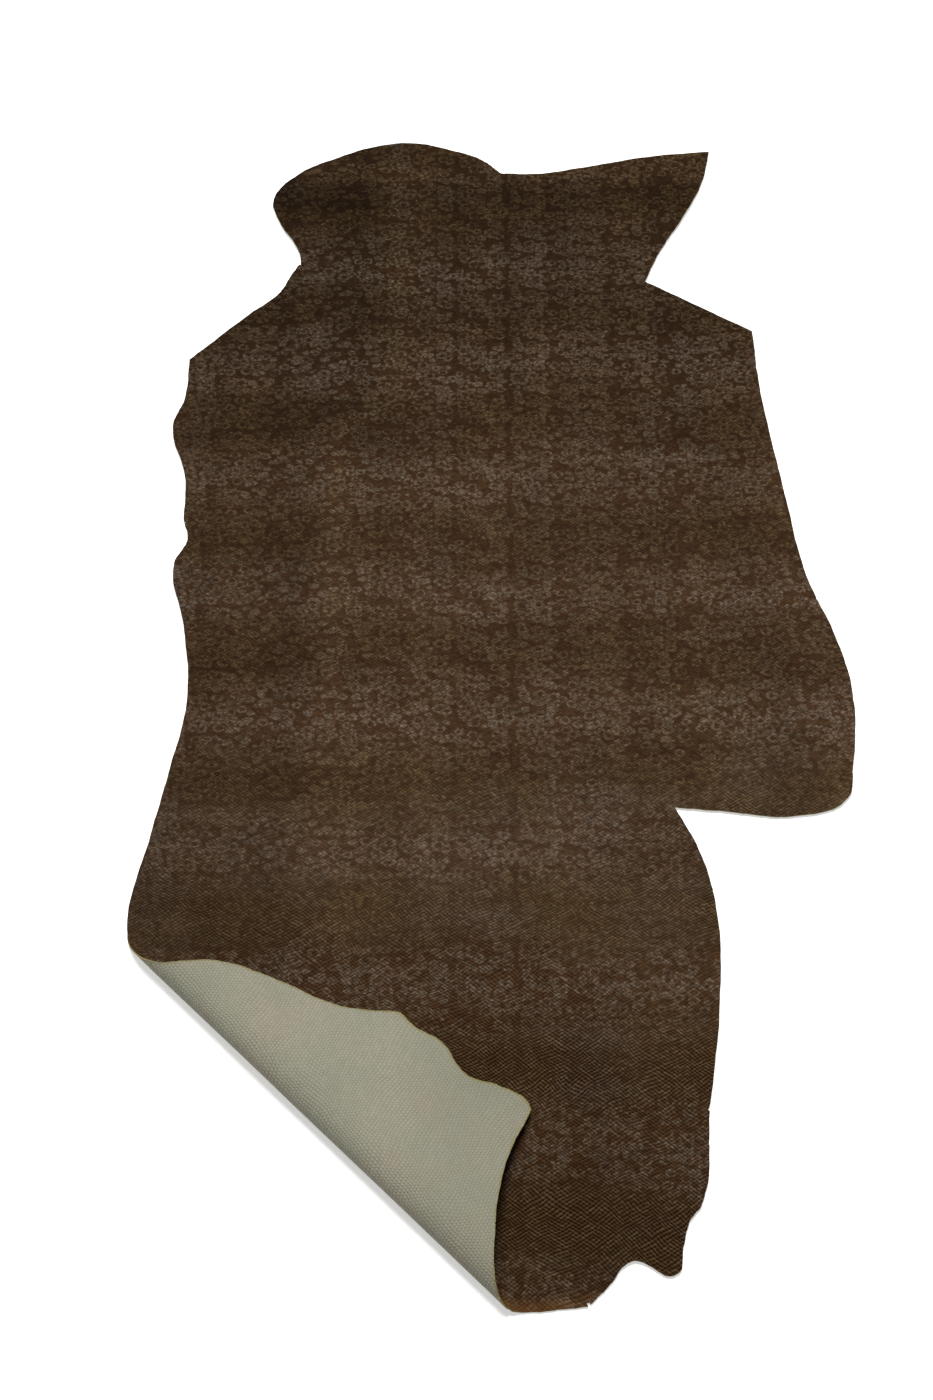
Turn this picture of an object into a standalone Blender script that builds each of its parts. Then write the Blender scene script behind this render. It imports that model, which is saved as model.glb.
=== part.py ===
"""A whole calf hide, cut to its natural outline and lying flat on its flesh side.

Its lower left corner is folded over, so that a triangle of the flesh side faces up.
The hide is one piece of leather, so it is one closed solid of even thickness.
The flat cut is drawn first, in metres, and the corner is then rolled over a bend.
"""
import math

import bmesh
import bpy
from mathutils import Vector

# ---- driving dimensions, in metres and radians ------------------------------------------

THICKNESS = 0.0014
MM = 0.001

# The fold runs down to the right across the lower left corner of the hide.
FOLD_SLOPE = math.radians(43.4)
FOLD_REACH = 0.4904      # from the middle of the hide to where the sheet starts to rise
BEND_SIZE = 0.009        # the smaller it is, the tighter the roll
OVERTURN = math.radians(11)   # how far past level the flap leans on its way down
LANDING = 0.070          # length over which the flap settles on the layer below
LAYER_GAP = 0.0008       # air left between the flap and the layer below

# How finely the sheet is divided.
CURVE_STEPS = 5          # straight edges from one outline point to the next
GRID = 0.070             # spacing of the divisions of the level sheet
TURN_STEP = math.radians(9)   # turn between two creases of the bend
FLAP_STEP = 0.030        # widest strip of the flap
PATH_STEP = 0.00025      # step with which the bend is followed
WELD = 0.0006            # points closer than this are made one

GRAIN_BROWN = (0.052, 0.033, 0.020, 1.0)
GRAIN_ROUGHNESS = 0.55

# ---- the outline of the flat cut ----------------------------------------------------------
# Each row is a place on the rim, its x and y in millimetres, and how the rim passes it.
# The rows go anticlockwise, seen from the grain side, from the middle of the neck.

OUTLINE = (
    # name                 x     y  rim
    ("neck_crest",        -96,  699, "smooth"),
    ("neck_slope_l",     -145,  694, "smooth"),
    ("neck_side_l",      -190,  676, "smooth"),
    ("neck_round_l",     -236,  649, "smooth"),
    ("ear_l",            -265,  606, "smooth"),
    ("ear_l_low",        -259,  575, "smooth"),
    ("pit_l",            -231,  520, "smooth"),
    ("pit_l_nick",       -228,  504, "corner"),
    ("shoulder_l_in",    -239,  483, "smooth"),
    ("shoulder_l_dip",   -250,  458, "smooth"),
    ("shoulder_l_mid",   -285,  423, "smooth"),
    ("shoulder_l",       -348,  357, "corner"),
    ("side_l_top",       -349,  300, "smooth"),
    ("side_l_lobe",      -359,  259, "smooth"),
    ("side_l_low",       -341,  192, "smooth"),
    ("nick_l_top",       -338,  133, "corner"),
    ("nick_l_mid",       -332,  108, "smooth"),
    ("nick_l_low",       -344,   75, "smooth"),
    ("waist_l_top",      -328,   -2, "smooth"),
    ("waist_l",          -318,  -90, "smooth"),
    ("waist_l_low",      -330, -176, "smooth"),
    ("hip_l_top",        -342, -244, "smooth"),
    ("hip_l",            -356, -344, "smooth"),
    ("thigh_l_top",      -338, -406, "smooth"),
    ("thigh_l",          -335, -466, "smooth"),
    ("thigh_l_mid",      -316, -516, "smooth"),
    ("thigh_l_low",      -289, -574, "smooth"),
    ("shank_l",          -283, -629, "corner"),
    ("shank_l_in",       -268, -642, "smooth"),
    ("shank_l_dip",      -253, -665, "smooth"),
    ("shank_l_mid",      -219, -687, "smooth"),
    ("shank_l_low",      -208, -716, "smooth"),
    ("shank_l_tip",      -191, -743, "corner"),
    ("butt_l",           -133, -716, "smooth"),
    ("butt_mid",          -55, -700, "smooth"),
    ("butt_r",             15, -700, "smooth"),
    ("tail_l",             70, -695, "corner"),
    ("tail_dip_l",         88, -678, "smooth"),
    ("tail_dip",          109, -657, "smooth"),
    ("tail_tip",          147, -668, "smooth"),
    ("shank_r_low",       155, -638, "smooth"),
    ("shank_r",           174, -600, "smooth"),
    ("thigh_r_low",       185, -522, "smooth"),
    ("thigh_r",           201, -416, "smooth"),
    ("thigh_r_mid",       204, -327, "smooth"),
    ("thigh_r_top",       192, -263, "smooth"),
    ("flank_notch",       170, -214, "corner"),
    ("flank_r_in",        214, -218, "smooth"),
    ("flank_r",           292, -223, "smooth"),
    ("belly_r_low",       340, -205, "smooth"),
    ("belly_r_round",     349, -172, "smooth"),
    ("belly_r",           358,  -81, "smooth"),
    ("belly_r_top",       347,  -15, "smooth"),
    ("side_r_low",        324,   62, "smooth"),
    ("side_r",            310,  168, "smooth"),
    ("side_r_top",        295,  308, "smooth"),
    ("shoulder_r",        292,  398, "corner"),
    ("shoulder_r_mid",    222,  442, "smooth"),
    ("pit_r",             173,  474, "corner"),
    ("ear_r_low",         191,  518, "smooth"),
    ("ear_r",             227,  584, "smooth"),
    ("ear_r_top",         249,  634, "smooth"),
    ("ear_r_tip",         261,  686, "corner"),
    ("ear_r_back",        184,  677, "smooth"),
    ("neck_r",            105,  659, "smooth"),
    ("neck_r_mid",         54,  649, "smooth"),
    ("neck_notch",          7,  649, "corner"),
    ("neck_slope_r",      -15,  670, "smooth"),
    ("neck_side_r",       -52,  687, "smooth"),
)

ACROSS_FOLD = Vector((-math.sin(FOLD_SLOPE), -math.cos(FOLD_SLOPE), 0))


def clear_scene():
    for leftover in list(bpy.data.objects):
        bpy.data.objects.remove(leftover, do_unlink=True)


def leather():
    """The dyed and embossed grain side."""
    material = bpy.data.materials.new("brown_grain_leather")
    material.use_nodes = True
    shader = material.node_tree.nodes["Principled BSDF"]
    shader.inputs["Base Color"].default_value = GRAIN_BROWN
    shader.inputs["Roughness"].default_value = GRAIN_ROUGHNESS
    shader.inputs["Metallic"].default_value = 0.0
    material.diffuse_color = GRAIN_BROWN
    return material


# ---- the flat cut -------------------------------------------------------------------------

def rim_curve():
    """A closed Bezier curve through the rows of OUTLINE."""
    curve = bpy.data.curves.new("rim", "CURVE")
    curve.dimensions = "2D"
    curve.fill_mode = "NONE"
    curve.resolution_u = CURVE_STEPS
    spline = curve.splines.new("BEZIER")
    spline.use_cyclic_u = True
    spline.bezier_points.add(len(OUTLINE) - 1)
    for point, (name, x, y, rim) in zip(spline.bezier_points, OUTLINE):
        point.co = (x * MM, y * MM, 0)
        handle = "VECTOR" if rim == "corner" else "AUTO"
        point.handle_left_type = handle
        point.handle_right_type = handle
    guide = bpy.data.objects.new("rim", curve)
    bpy.context.collection.objects.link(guide)
    return guide


def rim_points():
    """The curve's points, in order round the hide, as flat positions."""
    guide = rim_curve()
    bpy.context.view_layer.update()
    seen = guide.evaluated_get(bpy.context.evaluated_depsgraph_get())
    line = bpy.data.meshes.new_from_object(seen)
    points = [vertex.co.copy() for vertex in line.vertices]
    bpy.data.meshes.remove(line)
    bpy.data.objects.remove(guide, do_unlink=True)
    return points


def cut_along(sheet, normal, distance):
    """Divide every face that the plane through normal * distance crosses."""
    everything = sheet.verts[:] + sheet.edges[:] + sheet.faces[:]
    bmesh.ops.bisect_plane(sheet, geom=everything, dist=1e-6,
                           plane_co=normal * distance, plane_no=normal)


def flat_cut(bend):
    """The hide before it is folded, as one level layer of small faces."""
    sheet = bmesh.new()
    sheet.faces.new([sheet.verts.new(point) for point in rim_points()])
    for station in bend:
        cut_along(sheet, ACROSS_FOLD, FOLD_REACH + station["length"])
    for axis in (Vector((1, 0, 0)), Vector((0, 1, 0))):
        reach = max(abs(vertex.co.dot(axis)) for vertex in sheet.verts)
        lines = int(reach / GRID)
        for line in range(-lines, lines + 1):
            cut_along(sheet, axis, line * GRID)
    bmesh.ops.remove_doubles(sheet, verts=sheet.verts, dist=WELD)
    bmesh.ops.triangulate(sheet, faces=sheet.faces)
    return sheet


# ---- the folded corner ----------------------------------------------------------------------

def rolling_heading(length):
    """How far the sheet has turned from level, at a length past the start of the bend.

    It turns most at the nose and eases off slowly behind it, as a heavy sheet does.
    """
    x = length / BEND_SIZE
    return (math.pi + OVERTURN) * (1 - math.exp(-x) * (1 + x + x * x / 2))


def bend_path(longest):
    """Follow the middle of the sheet round the bend and down on to the layer below."""
    settled = THICKNESS + LAYER_GAP
    fall_in_landing = LANDING * OVERTURN / 2
    length = reach = height = 0.0
    landing_from = None
    path = []
    while length < longest:
        heading = rolling_heading(length)
        if landing_from is None and heading > math.pi and height < settled + fall_in_landing:
            landing_from = length
        if landing_from is not None:
            left = max(0.0, 1 - (length - landing_from) / LANDING)
            heading = math.pi + OVERTURN * left
        path.append({"length": length, "reach": reach, "height": height, "heading": heading})
        reach += math.cos(heading) * PATH_STEP
        height += math.sin(heading) * PATH_STEP
        length += PATH_STEP
    return path


def bend_stations(longest):
    """The places on the path where the sheet gets a crease."""
    path = bend_path(longest)
    stations = [path[0]]
    for place in path[1:-1]:
        turned = abs(place["heading"] - stations[-1]["heading"])
        if turned > TURN_STEP or place["length"] - stations[-1]["length"] > FLAP_STEP:
            stations.append(place)
    stations.append(path[-1])
    return stations


def rolled(point, stations):
    """Where a point of the flat cut goes when the corner is folded over."""
    length = point.dot(ACROSS_FOLD) - FOLD_REACH
    if length <= 0:
        return Vector((point.x, point.y, THICKNESS / 2))
    for before, after in zip(stations, stations[1:]):
        if length <= after["length"]:
            break
    share = (length - before["length"]) / (after["length"] - before["length"])
    reach = before["reach"] + share * (after["reach"] - before["reach"])
    height = before["height"] + share * (after["height"] - before["height"])
    folded = point + ACROSS_FOLD * (reach - length)
    return Vector((folded.x, folded.y, THICKNESS / 2 + height))


def centre(sheet):
    """Put the middle of the folded hide over the origin."""
    for axis in range(2):
        values = [vertex.co[axis] for vertex in sheet.verts]
        middle = (min(values) + max(values)) / 2
        for vertex in sheet.verts:
            vertex.co[axis] -= middle


def make_hide():
    corner = max(Vector((x * MM, y * MM, 0)).dot(ACROSS_FOLD) for name, x, y, rim in OUTLINE)
    stations = bend_stations(corner - FOLD_REACH + FLAP_STEP)
    sheet = flat_cut(stations)
    for vertex in sheet.verts:
        vertex.co = rolled(vertex.co, stations)
    centre(sheet)
    mesh = bpy.data.meshes.new("hide")
    sheet.to_mesh(mesh)
    sheet.free()
    mesh.materials.append(leather())
    hide = bpy.data.objects.new("hide", mesh)
    bpy.context.collection.objects.link(hide)
    body = hide.modifiers.new("thickness", "SOLIDIFY")
    body.thickness = THICKNESS
    body.offset = 0
    body.use_even_offset = True
    return hide


clear_scene()
make_hide()
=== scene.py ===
# %% [markdown]
# # A leather hide, from the flat cut to the finished surface
#
# A hide comes from the tannery as one piece of leather, cut roughly to the shape of the
# animal's skin. The grain side is dyed and embossed, and the flesh side is left as suede.
# This one lies grain side up with one corner folded over, so both sides show.
#
# The lesson goes as a tanner would. It cuts the flat shape, folds it, gives it thickness,
# and then finishes the grain side, the flesh side and the cut edge.

# %% The frame
import math

import bmesh
import bpy
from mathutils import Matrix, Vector, noise
from mathutils.kdtree import KDTree


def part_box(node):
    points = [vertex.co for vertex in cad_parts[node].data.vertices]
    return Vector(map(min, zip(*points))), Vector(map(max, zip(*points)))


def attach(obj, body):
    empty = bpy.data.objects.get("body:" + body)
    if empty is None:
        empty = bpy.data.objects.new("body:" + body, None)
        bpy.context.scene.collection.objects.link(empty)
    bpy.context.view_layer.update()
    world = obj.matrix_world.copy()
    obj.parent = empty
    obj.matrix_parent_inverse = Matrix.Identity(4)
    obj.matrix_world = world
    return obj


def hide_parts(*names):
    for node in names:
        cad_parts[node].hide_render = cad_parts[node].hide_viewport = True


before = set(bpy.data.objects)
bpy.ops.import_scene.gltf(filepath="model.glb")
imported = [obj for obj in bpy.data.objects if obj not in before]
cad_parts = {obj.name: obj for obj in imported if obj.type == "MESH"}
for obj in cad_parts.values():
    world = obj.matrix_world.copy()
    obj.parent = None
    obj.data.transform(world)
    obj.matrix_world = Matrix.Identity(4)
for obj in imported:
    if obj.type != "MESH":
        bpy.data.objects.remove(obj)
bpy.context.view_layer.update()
hide_low, hide_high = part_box("hide")
print("the hide's solid measures", [round(h - l, 4) for l, h in zip(hide_low, hide_high)])

# %% [markdown]
# ## The camera
#
# A flat thing seen at a slant gives its camera away. The pattern on the hide repeats
# evenly, but the repeats shrink with distance, and that shrinking fixes the tilt once the
# lens is known. A 50 mm lens, tilted 31 degrees off square, fits it.
#
# Blender can aim a camera with a constraint, but a rotation worked out once from a
# direction is plainer and leaves nothing live behind.

# %% Camera
LENS_MM = 50
SENSOR_MM = 36
CAMERA_TILT = math.radians(30.75)      # between the view and straight down
CAMERA_DISTANCE = 1.9736               # from the aim to the lens, in metres
AIM = Vector((-0.0341, -0.0902, 0))    # the middle of the view, on the floor

camera = bpy.data.objects.new("camera", bpy.data.cameras.new("camera"))
bpy.context.collection.objects.link(camera)
back = Vector((0, -math.sin(CAMERA_TILT), math.cos(CAMERA_TILT)))
camera.location = AIM + back * CAMERA_DISTANCE
camera.rotation_euler = (-back).to_track_quat("-Z", "Y").to_euler()
camera.data.lens = LENS_MM
camera.data.sensor_width = SENSOR_MM
bpy.context.scene.camera = camera
print("the camera stands", round(camera.location.z, 2), "m above the hide")

# %% [markdown]
# ## The stage
#
# The floor is a plain pale sheet. It glows a little, as a light table does, which keeps the
# shadow beside the fold pale.

# %% Floor
WHITE = (1, 1, 1, 1)
FLOOR_DROP = 0.0004      # keeps the floor just clear of the leather
FLOOR_HALF = 7.0         # half its width, in metres
FLOOR_PALE = (0.80, 0.80, 0.79, 1)
FLOOR_ROUGHNESS = 0.9
FLOOR_GLOW = 0.45


def make_floor():
    half = FLOOR_HALF
    corners = [(-half, -half), (half, -half), (half, half), (-half, half)]
    mesh = bpy.data.meshes.new("floor")
    mesh.from_pydata([(x, y, -FLOOR_DROP) for x, y in corners], [], [(0, 1, 2, 3)])
    pale = bpy.data.materials.new("pale_floor")
    pale.use_nodes = True
    shader = pale.node_tree.nodes["Principled BSDF"]
    shader.inputs["Base Color"].default_value = FLOOR_PALE
    shader.inputs["Roughness"].default_value = FLOOR_ROUGHNESS
    shader.inputs["Emission Color"].default_value = WHITE
    shader.inputs["Emission Strength"].default_value = FLOOR_GLOW
    mesh.materials.append(pale)
    made = bpy.data.objects.new("floor", mesh)
    bpy.context.collection.objects.link(made)
    return made


floor = make_floor()
print("the floor is", 2 * FLOOR_HALF, "m wide")

# %% [markdown]
# The light is soft. A wide sun stands beyond the neck, a little to the left. It leaves the
# rolled nose of the fold in shade and lets the raised flap cast a narrow shadow, and a pale
# sky fills the rest. A lamp close by would light the neck more than the tail, while a sun
# lights the whole hide alike.
#
# The sky looks brighter than it lights. A Light Path node knows the rays that go straight
# from the camera to the sky, so past the edge of the floor the sky can look white, and the
# light that it sheds on the leather stays gentle.

# %% Sky and sun
SKY_STRENGTH = 0.22      # the light it sheds
SKY_SEEN = 1.0           # how bright it looks
SUN_FROM = Vector((-0.14, 1.0, 1.40))
SUN_WIDTH = math.radians(28)
SUN_STRENGTH = 4.6

world = bpy.context.scene.world or bpy.data.worlds.new("world")
bpy.context.scene.world = world
world.use_nodes = True
sky = world.node_tree.nodes["Background"]
sky.inputs["Color"].default_value = WHITE
is_seen = world.node_tree.nodes.new("ShaderNodeLightPath").outputs["Is Camera Ray"]
strength = world.node_tree.nodes.new("ShaderNodeMapRange")
strength.inputs["To Min"].default_value = SKY_STRENGTH
strength.inputs["To Max"].default_value = SKY_SEEN
world.node_tree.links.new(is_seen, strength.inputs["Value"])
world.node_tree.links.new(strength.outputs["Result"], sky.inputs["Strength"])

sun = bpy.data.objects.new("wide_sun", bpy.data.lights.new("wide_sun", "SUN"))
bpy.context.collection.objects.link(sun)
sun.data.angle = SUN_WIDTH
sun.data.energy = SUN_STRENGTH
sun.rotation_euler = (-SUN_FROM).to_track_quat("-Z", "Y").to_euler()
bpy.context.scene.view_settings.view_transform = "Standard"
print("the sun stands", round(math.degrees(math.asin(SUN_FROM.normalized().z))), "degrees up")

# %% [markdown]
# ## The outline of the flat cut
#
# The table names places on the rim of the flat, unfolded hide, in millimetres. Between
# them the rim is a Bezier curve: smooth where the knife ran on, with a corner where it
# turned. A traced outline of a thousand points would be closer by a hair, but nobody
# could read it or change it.
#
# No two corners stand next to each other. Blender draws the straight stretch between two
# corners in one step, and the places of the nicks below are counted in equal steps.

# %% Outline
MM = 0.001

OUTLINE = (
    # name                 x     y  rim
    ("neck_crest",        -96,  699, "smooth"),
    ("neck_slope_l",     -145,  694, "smooth"),
    ("neck_side_l",      -190,  676, "smooth"),
    ("neck_round_l",     -236,  649, "smooth"),
    ("ear_l",            -265,  606, "smooth"),
    ("ear_l_low",        -259,  575, "smooth"),
    ("pit_l",            -231,  520, "smooth"),
    ("pit_l_nick",       -228,  504, "corner"),
    ("shoulder_l_in",    -239,  483, "smooth"),
    ("shoulder_l_dip",   -250,  458, "smooth"),
    ("shoulder_l_mid",   -285,  423, "smooth"),
    ("shoulder_l",       -348,  357, "corner"),
    ("side_l_top",       -349,  300, "smooth"),
    ("side_l_lobe",      -359,  259, "smooth"),
    ("side_l_low",       -341,  192, "smooth"),
    ("nick_l_top",       -338,  133, "corner"),
    ("nick_l_mid",       -332,  108, "smooth"),
    ("nick_l_low",       -344,   75, "smooth"),
    ("waist_l_top",      -328,   -2, "smooth"),
    ("waist_l",          -318,  -90, "smooth"),
    ("waist_l_low",      -330, -176, "smooth"),
    ("hip_l_top",        -342, -244, "smooth"),
    ("hip_l",            -356, -344, "smooth"),
    ("thigh_l_top",      -338, -406, "smooth"),
    ("thigh_l",          -335, -466, "smooth"),
    ("thigh_l_mid",      -316, -516, "smooth"),
    ("thigh_l_low",      -289, -574, "smooth"),
    ("shank_l",          -283, -629, "corner"),
    ("shank_l_in",       -268, -642, "smooth"),
    ("shank_l_dip",      -253, -665, "smooth"),
    ("shank_l_mid",      -219, -687, "smooth"),
    ("shank_l_low",      -208, -716, "smooth"),
    ("shank_l_tip",      -193, -740, "smooth"),
    ("shank_l_tip_r",    -184, -743, "corner"),
    ("butt_l",           -133, -716, "smooth"),
    ("butt_mid",          -55, -700, "smooth"),
    ("butt_r",             15, -700, "smooth"),
    ("tail_l",             70, -695, "corner"),
    ("tail_dip_l",         88, -678, "smooth"),
    ("tail_dip",          109, -657, "smooth"),
    ("tail_tip",          147, -668, "smooth"),
    ("shank_r_low",       154, -645, "smooth"),
    ("shank_r_in",        161, -622, "smooth"),
    ("shank_r",           173, -606, "smooth"),
    ("thigh_r_low",       185, -522, "smooth"),
    ("thigh_r",           201, -416, "smooth"),
    ("thigh_r_mid",       204, -327, "smooth"),
    ("thigh_r_top",       192, -263, "smooth"),
    ("flank_notch",       170, -214, "corner"),
    ("flank_r_in",        214, -218, "smooth"),
    ("flank_r",           292, -223, "smooth"),
    ("belly_r_low",       340, -205, "smooth"),
    ("belly_r_round",     349, -172, "smooth"),
    ("belly_r",           358,  -81, "smooth"),
    ("belly_r_top",       347,  -15, "smooth"),
    ("side_r_low",        324,   62, "smooth"),
    ("side_r",            310,  168, "smooth"),
    ("side_r_top",        295,  308, "smooth"),
    ("shoulder_r",        292,  398, "corner"),
    ("shoulder_r_mid",    222,  442, "smooth"),
    ("pit_r",             173,  474, "corner"),
    ("ear_r_low",         191,  518, "smooth"),
    ("ear_r",             227,  584, "smooth"),
    ("ear_r_top",         249,  634, "smooth"),
    ("ear_r_tip",         261,  686, "corner"),
    ("ear_r_back",        184,  677, "smooth"),
    ("neck_r",            105,  659, "smooth"),
    ("neck_r_mid",         54,  649, "smooth"),
    ("neck_notch",          7,  649, "corner"),
    ("neck_slope_r",      -15,  670, "smooth"),
    ("neck_side_r",       -52,  687, "smooth"),
)
print("the rim has", len(OUTLINE), "named places")

# %% [markdown]
# Blender draws the curve and gives it back as points. A hand-held knife never runs quite
# true, so each point is then pushed a hair across the rim, by two waves of unlike length.

# %% Rim
CURVE_STEPS = 14         # straight edges from one outline place to the next
RIM_RAGGED = 0.00035     # how far the knife wandered
KNIFE_WAVES = ((0.9, 0.0, 0.6), (2.3, 1.0, 0.4))   # pace, start and share of each wave


def rim_curve():
    """A closed Bezier curve through the rows of OUTLINE."""
    curve = bpy.data.curves.new("rim", "CURVE")
    curve.dimensions = "2D"
    curve.fill_mode = "NONE"
    curve.resolution_u = CURVE_STEPS
    spline = curve.splines.new("BEZIER")
    spline.use_cyclic_u = True
    spline.bezier_points.add(len(OUTLINE) - 1)
    for point, (_, x, y, turn) in zip(spline.bezier_points, OUTLINE):
        point.co = (x * MM, y * MM, 0)
        handle = "VECTOR" if turn == "corner" else "AUTO"
        point.handle_left_type = handle
        point.handle_right_type = handle
    guide = bpy.data.objects.new("rim", curve)
    bpy.context.collection.objects.link(guide)
    return guide


def wander(place):
    """A small wobble across the rim, the same on each run."""
    return sum(math.sin(place * pace + start) * share for pace, start, share in KNIFE_WAVES)


def rim_points():
    guide = rim_curve()
    bpy.context.view_layer.update()
    seen = guide.evaluated_get(bpy.context.evaluated_depsgraph_get())
    line = bpy.data.meshes.new_from_object(seen)
    smooth = [vertex.co.copy() for vertex in line.vertices]
    bpy.data.meshes.remove(line)
    bpy.data.objects.remove(guide, do_unlink=True)
    points = []
    for place, point in enumerate(smooth):
        along = (smooth[(place + 1) % len(smooth)] - smooth[place - 1]).normalized()
        inward = Vector((-along.y, along.x, 0))
        points.append(point + inward * wander(place) * RIM_RAGGED)
    return points


whole_rim = rim_points()
print("the rim before its nicks has", len(whole_rim), "points")

# %% [markdown]
# A knife also leaves small nicks where a peg or a clamp held the skin. Each is a short
# bite out of the rim, so it goes in as two extra points that lie inside it.

# %% Nicks
NICKS = (
    # along the rim from this place, share of the way, width and depth in millimetres
    ("tail_l", 0.02, 5, 3.0),
    ("butt_mid", 0.80, 4, 2.5),
    ("thigh_r_low", 0.0, 4, 2.2),
    ("nick_l_top", 0.10, 4, 2.2),
    ("pit_l_nick", 0.05, 4, 2.4),
)
BITE = ((0.2, 1.0), (0.7, 0.4))   # each point's share of the nick's width and of its depth


def nicked(points):
    """The rim with its nicks cut in."""
    names = [row[0] for row in OUTLINE]
    bites = {}
    for name, share, width, depth in NICKS:
        start = names.index(name) * CURVE_STEPS + round(share * CURVE_STEPS)
        bites[start] = (width * MM, depth * MM)
    cut = []
    for place, point in enumerate(points):
        cut.append(point)
        if place in bites:
            width, depth = bites[place]
            along = (points[(place + 1) % len(points)] - point).normalized()
            inward = Vector((-along.y, along.x, 0))
            for forward, deep in BITE:
                cut.append(point + along * width * forward + inward * depth * deep)
    return cut


rim = nicked(whole_rim)
rim_length = sum((a - b).length for a, b in zip(rim, rim[1:] + rim[:1]))
print("the rim is", round(rim_length, 3), "m long, in", len(rim), "short edges")

# %% [markdown]
# ## Dividing the flat cut
#
# The fold needs points close together to bend at, and the soft waves need an even net of
# them. Triangulating the outline at once would give long thin slivers. Slicing the one
# big face with many straight cuts gives neat squares inside and trimmed ones at the rim.
#
# The slices beside the bend run parallel to the fold, so the roll has clean straight
# creases, as a sheet bent one way only must have.

# %% Slicing
GRID = 0.0065            # spacing of the net
BEND_SLICE = 0.0025      # spacing of the slices through the bend
BEND_SPAN = 0.075        # length of sheet that is sliced so finely
ON_THE_CUT = 1e-6        # a point this near a cut is taken as lying on it
WELD = 0.0007            # points closer than this become one
FOLD_SLOPE = math.radians(43.4)
FOLD_REACH = 0.4904      # from the middle of the hide to where the sheet starts to rise
ACROSS_FOLD = Vector((-math.sin(FOLD_SLOPE), -math.cos(FOLD_SLOPE), 0))


def slice_along(sheet, normal, distance):
    everything = sheet.verts[:] + sheet.edges[:] + sheet.faces[:]
    bmesh.ops.bisect_plane(sheet, geom=everything, dist=ON_THE_CUT,
                           plane_co=normal * distance, plane_no=normal)


def flat_sheet():
    sheet = bmesh.new()
    sheet.faces.new([sheet.verts.new(point) for point in rim])
    for axis in (Vector((1, 0, 0)), Vector((0, 1, 0))):
        lines = int(max(abs(point.dot(axis)) for point in rim) / GRID)
        for line in range(-lines, lines + 1):
            slice_along(sheet, axis, line * GRID)
    for line in range(int(BEND_SPAN / BEND_SLICE) + 1):
        slice_along(sheet, ACROSS_FOLD, FOLD_REACH + line * BEND_SLICE)
    bmesh.ops.remove_doubles(sheet, verts=sheet.verts, dist=WELD)
    bmesh.ops.connect_verts_concave(sheet, faces=sheet.faces)
    return sheet


sheet = flat_sheet()
flat_area = sum(face.calc_area() for face in sheet.faces)

# %% [markdown]
# While the sheet is flat, each point is told three things that the fold would hide: how
# far it lies from the rim, where it lies on the flat cut, and where the embossing plate
# touched it. The finishes read them later, so their patterns run over the fold unbroken.
#
# Blender's vector noise starts from the clock, so it is given a seed first. Without one the
# embossed rows would wander another way on every run.

# %% Places kept from the flat cut
PLATE_SLIPS = (
    # wave length and reach of the slip, in metres
    (0.070, 0.0055),
    (0.026, 0.0034),
)
PLATE_SEED = 5           # any fixed number will do


def mark_rim_distance(mesh):
    """Keep, on each point, how far it lies from the rim."""
    tree = KDTree(len(rim))
    for place, point in enumerate(rim):
        tree.insert(point, place)
    tree.balance()
    distance = mesh.attributes.new("rim_distance", "FLOAT", "POINT")
    for vertex in mesh.vertices:
        distance.data[vertex.index].value = tree.find(vertex.co)[2]


def plate_place(flat):
    """Where the embossing plate touched a flat place, after it slipped about."""
    place = flat.copy()
    for wave, slip in PLATE_SLIPS:
        push = noise.noise_vector(Vector((flat.x, flat.y, wave)) / wave)
        place += push.xy * slip
    return place


def map_sheet(mesh):
    """Two UV maps in metres: the flat cut, and the same place on the embossing plate."""
    noise.seed_set(PLATE_SEED)
    for name, mapping in (("flat_cut", lambda flat: flat), ("plate", plate_place)):
        places = [mapping(vertex.co.xy) for vertex in mesh.vertices]
        layer = mesh.uv_layers.new(name=name)
        for loop in mesh.loops:
            layer.data[loop.index].uv = places[loop.vertex_index]


flat_mesh = bpy.data.meshes.new("leather_hide")
sheet.to_mesh(flat_mesh)
sheet.free()
mark_rim_distance(flat_mesh)
map_sheet(flat_mesh)
print("maps on the flat cut:", [layer.name for layer in flat_mesh.uv_layers])

# %% [markdown]
# ## The profile of the fold
#
# Thick leather does not crease when it is folded loosely. It rolls: it lifts off the
# table, turns tightest at the nose, and eases down again behind it. A circle would look
# like a pipe. Here the turn grows and fades by a formula with one size, and the path of
# the sheet is added up from it step by step, so the leather keeps its length.

# %% Fold profile
THICKNESS = 0.0014
BEND_SIZE = 0.009        # the smaller it is, the tighter the roll
OVERTURN = math.radians(11)   # how far past level the flap leans on its way down
LANDING = 0.070          # length over which the flap settles on the layer below
LAYER_GAP = 0.0008       # air between the flap and the layer below
PATH_STEP = 0.0005
SPARE_LENGTH = 0.01      # what the profile has beyond the end of the flap


def rolling_heading(length):
    """How far the sheet has turned from level, at a length past the start of the bend."""
    x = length / BEND_SIZE
    return (math.pi + OVERTURN) * (1 - math.exp(-x) * (1 + x + x * x / 2))


def fold_profile(longest):
    """The middle of the sheet from the side: reach across the fold, and height."""
    settled = THICKNESS + LAYER_GAP
    fall_in_landing = LANDING * OVERTURN / 2
    length = reach = height = 0.0
    landing_from = None
    places = [(0.0, 0.0)]
    while length < longest:
        heading = rolling_heading(length + PATH_STEP / 2)
        if landing_from is None and heading > math.pi and height < settled + fall_in_landing:
            landing_from = length
        if landing_from is not None:
            left = max(0.0, 1 - (length - landing_from) / LANDING)
            heading = math.pi + OVERTURN * left
        reach += math.cos(heading) * PATH_STEP
        height += math.sin(heading) * PATH_STEP
        length += PATH_STEP
        places.append((reach, height))
    return places


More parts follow.
